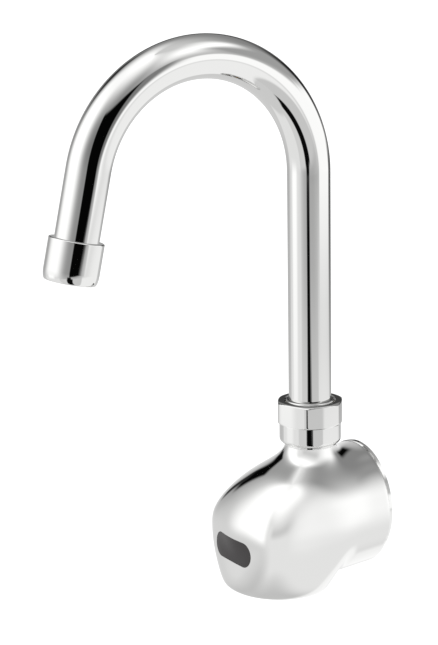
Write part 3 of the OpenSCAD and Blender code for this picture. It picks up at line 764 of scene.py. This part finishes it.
washer = turned("neck_trim_ring", [
    (TRIM_BORE_R, NECK_TOP, 0), (TRIM_R, NECK_TOP, 0.25), (TRIM_R, COLLAR_Z, 0.25),
    (TRIM_BORE_R, COLLAR_Z, 0)], NECK_AXIS)
dress(washer, turned_chrome, "fixed", "chrome", "neck_washer")
collar = turned("plain_collar", [
    (PASSAGE_R, SHANK_Z, 0.3), (SHANK_R, SHANK_Z, 0.3), (SHANK_R, COLLAR_Z, 0),
    (COLLAR_R, COLLAR_Z, 2.4), (COLLAR_R, SHOULDER_Z, 0.4), (NOSE_R, SHOULDER_Z, 0),
    (NOSE_R, LAND_Z, 0.4), (TAIL_BORE_R, LAND_Z, 0.2), (TAIL_BORE_R, TAIL_FLOOR_Z, 0),
    (PASSAGE_R, TAIL_FLOOR_Z, 0)], NECK_AXIS)
dress(collar, turned_chrome, "fixed", "chrome", "neck_collar")

# %% [markdown]
# The coupling nut. A hexagon bar with both ends turned to a cone, so each
# flat ends in a shallow curve. The polishing wheel has left the flats slightly
# crowned and the corners soft, so they lie just inside a true hexagon of the
# same width across flats. The outside is one sheet over height and turn,
# where the radius is the smooth least of the six flats and the two cones.

# %% Coupling nut
NUT_AF, NUT_CROWN_R, NUT_TURN, NUT_CORNER, NUT_EDGE = 28.6, 33.0, 21.4, 0.6, 0.4
NUT_TOP_R, NUT_TOP_SLOPE, NUT_FOOT_R, NUT_FOOT_SLOPE = 14.15, 2.5, 14.8, 1.0
NUT_LIP_R, NUT_BORE_R, NUT_LIP_Z = 11.2, 12.26, 47.7


def nut_radius(turn, z):
    """The smooth least of six slightly crowned flats and the two turned ends."""
    flat = np.full(np.broadcast(turn, z).shape, 99.0)
    centre = NUT_CROWN_R - NUT_AF / 2
    for k in range(6):
        off = turn - math.radians(NUT_TURN + 30 + 60 * k)
        reach = np.sqrt(NUT_CROWN_R ** 2 - (centre * np.sin(off)) ** 2) - centre * np.cos(off)
        flat = smin(flat, np.where(np.cos(off) > 0.3, reach, 99.0), NUT_CORNER)
    top = NUT_TOP_R + np.maximum(NUT_TOP_Z - z, 0) * NUT_TOP_SLOPE
    foot = NUT_FOOT_R + np.maximum(z - NUT_Z, 0) * NUT_FOOT_SLOPE
    return smin(smin(flat, top, NUT_EDGE), foot, NUT_EDGE)


def make_nut(around=360, levels=40):
    z = NUT_Z + (NUT_TOP_Z - NUT_Z) * (1 - np.cos(np.linspace(0, np.pi, levels))) / 2
    turn = np.linspace(0, 2 * np.pi, around, endpoint=False)
    t, h = np.meshgrid(turn, z)
    r = nut_radius(t, h)
    inner = [(NUT_LIP_R + 0.9, NUT_TOP_Z), (NUT_LIP_R + 0.35, NUT_TOP_Z - 0.12),
             (NUT_LIP_R, NUT_TOP_Z - 0.5), (NUT_LIP_R, NUT_LIP_Z), (NUT_BORE_R, NUT_LIP_Z),
             (NUT_BORE_R, NUT_Z)]
    rows = [np.stack([r[i] * np.cos(turn), r[i] * np.sin(turn) + NECK_Y,
                      np.full(around, z[i])], -1) for i in range(levels)]
    rows += [np.stack([a * np.cos(turn), a * np.sin(turn) + NECK_Y,
                       np.full(around, b)], -1) for a, b in inner]
    m = len(rows)
    faces = [(i * around + j, i * around + (j + 1) % around,
              (i + 1) % m * around + (j + 1) % around, (i + 1) % m * around + j)
             for i in range(m) for j in range(around)]
    nut = mesh_piece("hexagon_coupling_nut", np.concatenate(rows), faces)
    return creased(closed_outward(nut), 32)


dress(make_nut(), turned_chrome, "fixed", "chrome", "coupling_nut")

# %% [markdown]
# The gooseneck: one length of drawn tube, bent round a former. It follows a
# rule exactly, a straight run, an arc and a shorter straight run, so Geometry
# Nodes make it. A line's points are put on the path by how far along they
# are, and two rings are swept along it for the outside and the bore.

# %% Gooseneck tube by Geometry Nodes
TUBE_R, TUBE_WALL = 9.525, 1.1
SEAT_Z, LEG, ARCH_R, SWEEP, OUTLET_RUN = 46.8, 107.0, 54.6, 167.5, 37.5


def gooseneck_tree():
    tree = bpy.data.node_groups.new("gooseneck", "GeometryNodeTree")
    face = tree.interface
    face.new_socket("Geometry", in_out="OUTPUT", socket_type="NodeSocketGeometry")
    for name in ("Leg", "Arch radius", "Sweep", "Outlet run", "Tube radius", "Wall",
                 "Seat height", "Neck distance"):
        face.new_socket(name, in_out="INPUT", socket_type="NodeSocketFloat")
    face.new_socket("Metal", in_out="INPUT", socket_type="NodeSocketMaterial")
    given = add(tree, "NodeGroupInput").outputs

    def sums(operation, a, b=0.0, **more):
        return add(tree, "ShaderNodeMath", {"operation": operation, **more},
                   _0=a, _1=b).outputs[0]

    arc = sums("MULTIPLY", given["Arch radius"], given["Sweep"])
    whole = sums("ADD", sums("ADD", given["Leg"], arc), given["Outlet run"])
    share = add(tree, "GeometryNodeSplineParameter").outputs["Factor"]
    along = sums("MULTIPLY", share, whole)
    leg = sums("MINIMUM", along, given["Leg"])
    bent = sums("MAXIMUM", sums("SUBTRACT", along, given["Leg"]), 0.0)
    turn = sums("MINIMUM", sums("DIVIDE", bent, given["Arch radius"]), given["Sweep"])
    out = sums("MAXIMUM", sums("SUBTRACT", bent, arc), 0.0)
    sine, cosine = sums("SINE", turn), sums("COSINE", turn)
    forward = sums("ADD", sums("MULTIPLY", given["Arch radius"], sums("SUBTRACT", 1.0, cosine)),
                   sums("MULTIPLY", out, sine))
    y = sums("MULTIPLY", sums("ADD", given["Neck distance"], forward), -1.0)
    rise = sums("ADD", sums("MULTIPLY", given["Arch radius"], sine),
                sums("MULTIPLY", out, cosine))
    z = sums("ADD", sums("ADD", given["Seat height"], leg), rise)
    place = add(tree, "ShaderNodeCombineXYZ", X=0.0, Y=y, Z=z).outputs[0]
    line = add(tree, "GeometryNodeCurvePrimitiveLine").outputs[0]
    fine = add(tree, "GeometryNodeResampleCurve", _0=line, Count=260).outputs[0]
    path = add(tree, "GeometryNodeSetPosition", Geometry=fine, Position=place).outputs[0]
    walls = []
    for inset, steps in ((0.0, 112), (1.0, 64)):
        radius = sums("SUBTRACT", given["Tube radius"], sums("MULTIPLY", given["Wall"], inset))
        ring = add(tree, "GeometryNodeCurvePrimitiveCircle", Resolution=steps,
                   Radius=radius).outputs[0]
        wall = add(tree, "GeometryNodeCurveToMesh", Curve=path, _1=ring).outputs[0]
        if inset:
            wall = add(tree, "GeometryNodeFlipFaces", Mesh=wall).outputs[0]
        walls.append(wall)
    both = add(tree, "GeometryNodeJoinGeometry")
    for wall in walls:
        tree.links.new(wall, both.inputs[0])
    real = add(tree, "GeometryNodeRealizeInstances", Geometry=both.outputs[0]).outputs[0]
    done = add(tree, "GeometryNodeSetMaterial", Geometry=real, Material=given["Metal"])
    add(tree, "NodeGroupOutput", _0=done.outputs[0])
    return tree


def set_inputs(modifier, values):
    for item in modifier.node_group.interface.items_tree:
        if item.item_type == "SOCKET" and item.in_out == "INPUT":
            modifier[item.identifier] = values[item.name]


def rim(piece, height_test):
    """Closes a tube's end with a flat ring between its outer and inner edge."""
    work = bmesh.new()
    work.from_mesh(piece.data)
    edges = [e for e in work.edges if e.is_boundary and height_test(e.verts[0].co)]
    bmesh.ops.bridge_loops(work, edges=edges)
    work.to_mesh(piece.data)
    work.free()


def make_gooseneck():
    tube = bpy.data.objects.new("gooseneck_spout_tube", bpy.data.meshes.new("tube"))
    scene.collection.objects.link(tube)
    bend = tube.modifiers.new("gooseneck", "NODES")
    bend.node_group = gooseneck_tree()
    set_inputs(bend, {
        "Leg": LEG * MM, "Arch radius": ARCH_R * MM, "Sweep": math.radians(SWEEP),
        "Outlet run": OUTLET_RUN * MM, "Tube radius": TUBE_R * MM, "Wall": TUBE_WALL * MM,
        "Seat height": SEAT_Z * MM, "Neck distance": -NECK_Y * MM, "Metal": tube_chrome})
    baked(tube)
    middle = (NECK_Y - ARCH_R) * MM
    rim(tube, lambda co: co.y > middle)
    rim(tube, lambda co: co.y < middle)
    return creased(closed_outward(tube), 40)


dress(make_gooseneck(), tube_chrome, "spout", "chrome", "gooseneck_tube")

# %% Ferrule at the foot of the tube, and the outlet at its end
END_TURN = Matrix.Translation((0, NECK_Y - ARCH_R, SEAT_Z + LEG)) \
    @ Matrix.Rotation(math.radians(SWEEP), 4, "X") @ Matrix.Translation((0, ARCH_R, 0))
FERRULE_R, FERRULE_TOP, TAIL_R, TAIL_Z, TAIL_BORE = 10.8, 50.95, 8.0, 34.25, 5.0
TAIL_FLANGE_R, TAIL_FLANGE_TOP = 11.9, 47.05
SOCKET_R = TUBE_R + 0.03
ferrule = turned("spout_ferrule", [
    (TAIL_BORE, TAIL_Z, 0), (TAIL_R, TAIL_Z, 0.4), (TAIL_R, FLANGE_Z, 0),
    (TAIL_FLANGE_R, FLANGE_Z, 0), (TAIL_FLANGE_R, TAIL_FLANGE_TOP, 0),
    (FERRULE_R, TAIL_FLANGE_TOP, 0), (FERRULE_R, FERRULE_TOP, 0.9),
    (SOCKET_R, FERRULE_TOP, 0.1), (SOCKET_R, SEAT_Z, 0), (TAIL_BORE, SEAT_Z, 0)], NECK_AXIS)
dress(ferrule, turned_chrome, "spout", "chrome", "spout_tail")

SLEEVE_R, SLEEVE_AT, SLEEVE_END, SLEEVE_ROUND, SLEEVE_TUCK = 11.85, 29.5, 47.5, 4.6, 1.2
THREAD_R, WASHER_AT, SLEEVE_BORE_R = 10.2, 38.9, 8.43
rounding = [(SLEEVE_R - SLEEVE_TUCK * (1 - math.cos(a)),
             SLEEVE_END - SLEEVE_ROUND * (1 - math.sin(a)), 0)
            for a in np.linspace(0, math.pi / 2, 12)]
sleeve = turned("outlet_sleeve_skin", [
    (SOCKET_R, SLEEVE_AT, 0.15), (SLEEVE_R, SLEEVE_AT, 0.5),
    (SLEEVE_R, SLEEVE_END - SLEEVE_ROUND - GUARD, 0), *rounding,
    (THREAD_R, SLEEVE_END, 0.12), (THREAD_R, WASHER_AT, 0), (SLEEVE_BORE_R, WASHER_AT, 0),
    (SLEEVE_BORE_R, OUTLET_RUN, 0), (SOCKET_R, OUTLET_RUN, 0)], END_TURN)
dress(sleeve, turned_chrome, "spout", "chrome", "outlet_sleeve")

# %% [markdown]
# The wall flange keeps its CAD form, with its screw holes and spigot. A copy
# of the solid's mesh is merged and shaded smoothly, so that its rim doesn't
# show the facets of the file.

# %% Smooth copies of CAD pieces


def smooth_copy(node, name, material, degrees=32):
    source = frame["nodes"][node]
    work = bmesh.new()
    work.from_mesh(source.data)
    bmesh.ops.remove_doubles(work, verts=work.verts, dist=0.000002)
    mesh = bpy.data.meshes.new(name)
    work.to_mesh(mesh)
    work.free()
    piece = bpy.data.objects.new(name, mesh)
    scene.collection.objects.link(piece)
    creased(piece, degrees)
    body = source["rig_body"]
    return dress(piece, material, body, node_slot[node], node)


smooth_copy("wall_flange", "wall_flange_plate", turned_chrome)
smooth_copy("aerator_housing", "aerator_ring", turned_chrome)


LENS_INSET, LENS_BACK_Y = 0.1, SEAT_Y - 0.55


def make_lens():
    lens = closed_outward(star("sensor_lens", LENS_INSET, 60, 1.0, 150, 240))
    outline = pill_outline(WINDOW_W - 0.2, WINDOW_H - 0.2)
    bar = prism("lens_outline", outline, FRONT_Y - 8, LENS_BACK_Y, at_window)
    return creased(cut(lens, [bar], "INTERSECT"), 34)


dress(make_lens(), window_plastic, "fixed", "window_plastic", "sensor_window")

# %% [markdown]
# Last, the two tents are told what they light: the casting and what is let
# into it, or the spout, the nut and the collar.

# %% Light linking and the end
SPOUT_SIDE_RINGS = ("hexagon_coupling_nut", "plain_collar", "neck_trim_ring",
                    "wall_flange_plate")
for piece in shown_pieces():
    near_tube = body_of(piece) == ["spout"] or piece.name in SPOUT_SIDE_RINGS
    (tube_side if near_tube else body_side).objects.link(piece)
    if body_of(piece) == ["spout"]:
        piece.visible_glossy = False
